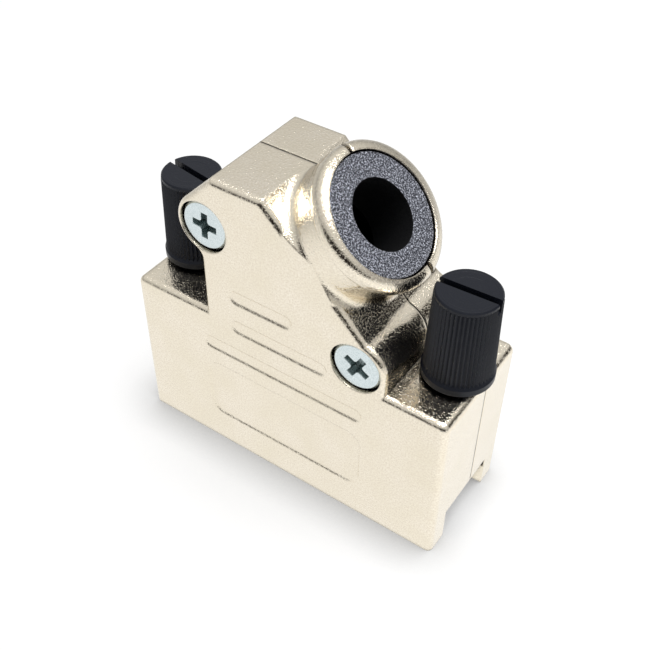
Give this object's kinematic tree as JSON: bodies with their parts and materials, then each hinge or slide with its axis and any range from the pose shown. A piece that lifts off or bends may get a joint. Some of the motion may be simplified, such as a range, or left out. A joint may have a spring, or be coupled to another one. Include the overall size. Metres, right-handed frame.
{
  "type": "d-sub connector hood",
  "caption": "Cast metal hood for a D-sub connector, with a cable outlet at 45 degrees, a grommet, cross-head closing screws and captive jackscrews with ribbed knobs.",
  "frame": {"origin": "centre of the mating end, on its plane", "axes": "+X along the connector towards the side that the cable leaves on, +Y from the front shell with the screw heads to the rear shell, +Z away from the connector"},
  "size_m": [0.0408, 0.015, 0.0406],
  "materials": {
    "cast_nickel": "satin nickel plate on a zinc casting",
    "grommet_black": "fine grained moulding",
    "bright_zinc": "bright zinc plate",
    "rod_steel": "turned steel",
    "knob_black": "satin moulded plastic"
  },
  "bodies": {
    "hood": {"front_shell": "cast_nickel", "rear_shell": "cast_nickel", "cable_grommet": "grommet_black", "closing_screw_upper": "bright_zinc", "closing_screw_lower": "bright_zinc"},
    "left_carrier": {"retaining_ring_left": "rod_steel"},
    "left_jackscrew": {"jackscrew_rod_left": "rod_steel", "knob_left": "knob_black"},
    "right_carrier": {"retaining_ring_right": "rod_steel"},
    "right_jackscrew": {"jackscrew_rod_right": "rod_steel", "knob_right": "knob_black"}
  },
  "joints": [
    {"name": "left_slide", "type": "slide", "parent": "hood", "child": "left_carrier", "axis": [0, 0, 1], "range_m": [0, 0.0045]},
    {"name": "left_turn", "type": "hinge", "parent": "left_carrier", "child": "left_jackscrew", "pos_m": [-0.01666, 0, 0.02], "axis": [0, 0, 1], "continuous": true},
    {"name": "right_slide", "type": "slide", "parent": "hood", "child": "right_carrier", "axis": [0, 0, 1], "range_m": [0, 0.0045]},
    {"name": "right_turn", "type": "hinge", "parent": "right_carrier", "child": "right_jackscrew", "pos_m": [0.01666, 0, 0.02], "axis": [0, 0, 1], "continuous": true}
  ]
}
